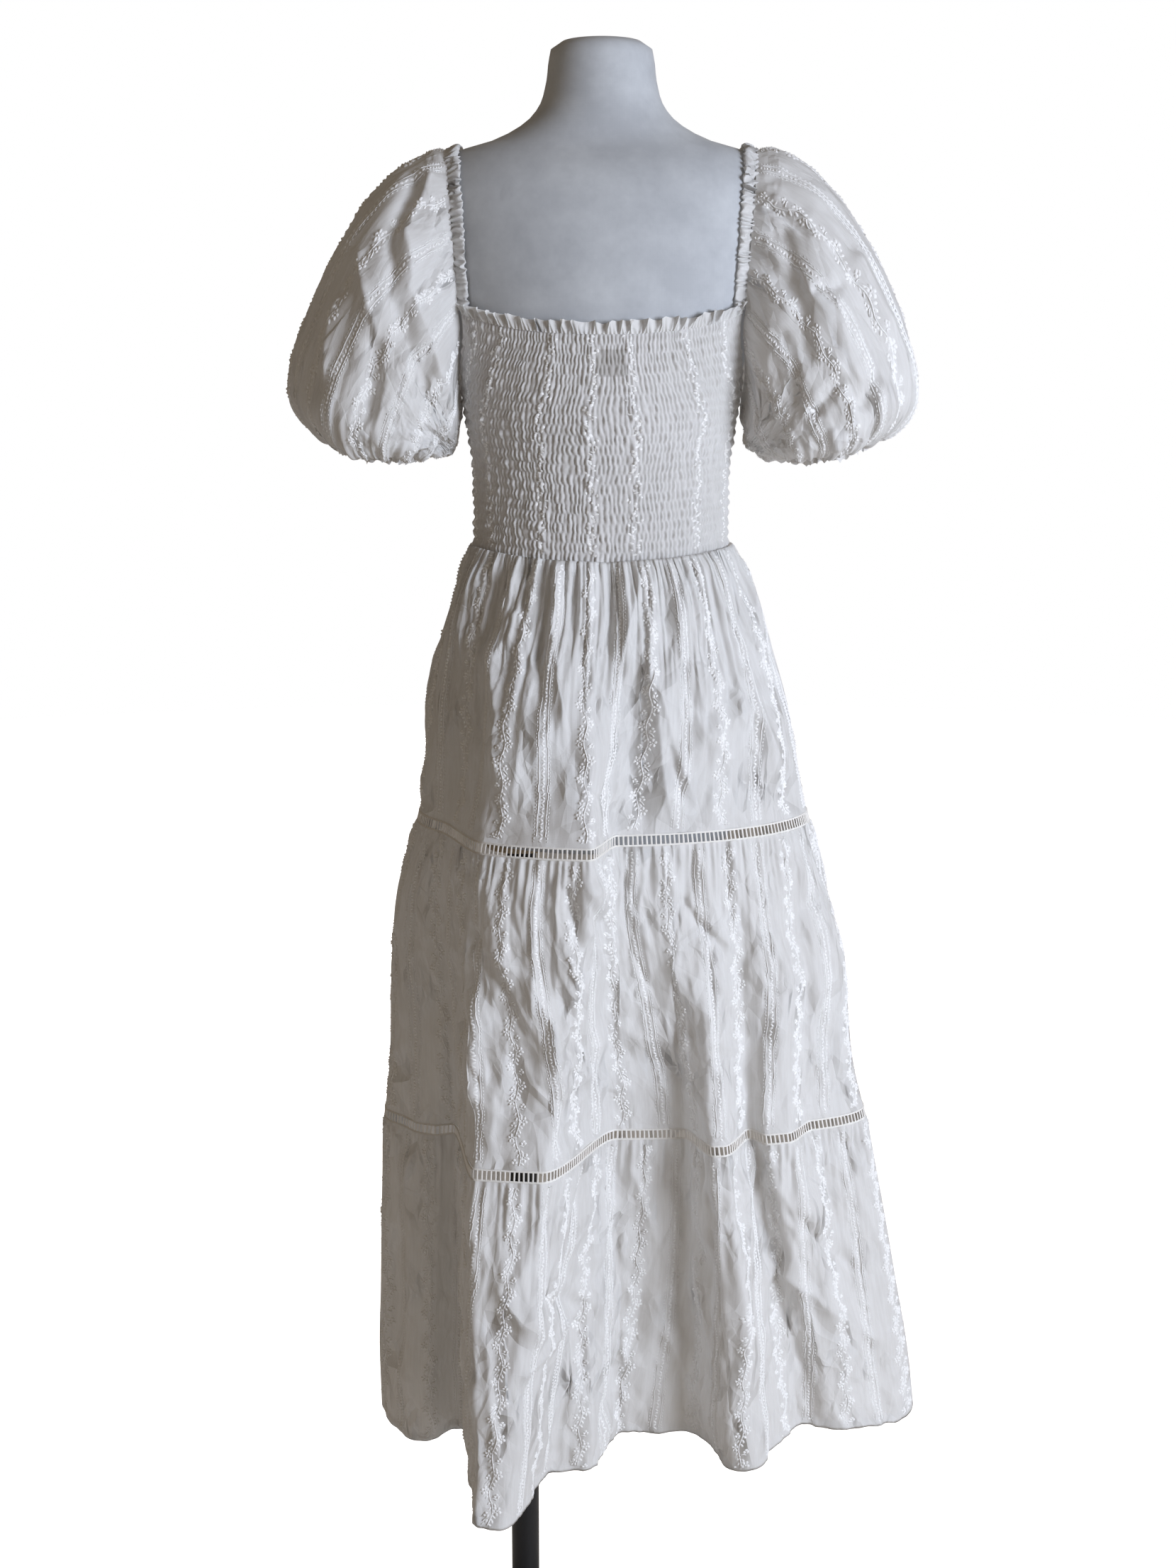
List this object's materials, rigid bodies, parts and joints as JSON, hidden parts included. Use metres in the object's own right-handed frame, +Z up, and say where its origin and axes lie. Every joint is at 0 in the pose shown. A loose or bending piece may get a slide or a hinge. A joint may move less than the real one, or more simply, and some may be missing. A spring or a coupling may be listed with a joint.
{
  "type": "peasant dress on a dress form",
  "caption": "Tiered peasant dress with puff sleeves, smocked back, neck ruffle and ladder lace seams, on a limbless dress form with a pole and round base.",
  "frame": {"origin": "on the floor under the middle of the form, on the underside of the base", "axes": "+Z up, -Y out of the dress's back, which is the smocked side, +X to the wearer's right"},
  "size_m": [0.623, 0.52, 1.676],
  "materials": {
    "cotton_voile": "matte woven cotton, self-coloured embroidery",
    "smocked_cotton": "matte woven cotton, shirred with elastic thread",
    "ladder_lace": "matte cotton insertion lace",
    "form_canvas": "matte, tight canvas",
    "form_board": "matte",
    "black_paint": "satin"
  },
  "bodies": {
    "root": {"bodice_back": "smocked_cotton", "bodice_front": "cotton_voile", "neck_ruffle": "cotton_voile", "casing_left": "cotton_voile", "casing_right": "cotton_voile", "sleeve_left": "cotton_voile", "sleeve_right": "cotton_voile", "cuff_left": "cotton_voile", "cuff_right": "cotton_voile", "tier_1_back": "cotton_voile", "tier_1_front": "cotton_voile", "tier_2_back": "cotton_voile", "tier_2_front": "cotton_voile", "tier_3_back": "cotton_voile", "tier_3_front": "cotton_voile", "ladder_1_back": "ladder_lace", "ladder_1_front": "ladder_lace", "ladder_2_back": "ladder_lace", "ladder_2_front": "ladder_lace", "dress_form": "form_canvas", "form_collar": "form_board", "form_pole": "black_paint", "form_base": "black_paint"}
  },
  "joints": []
}
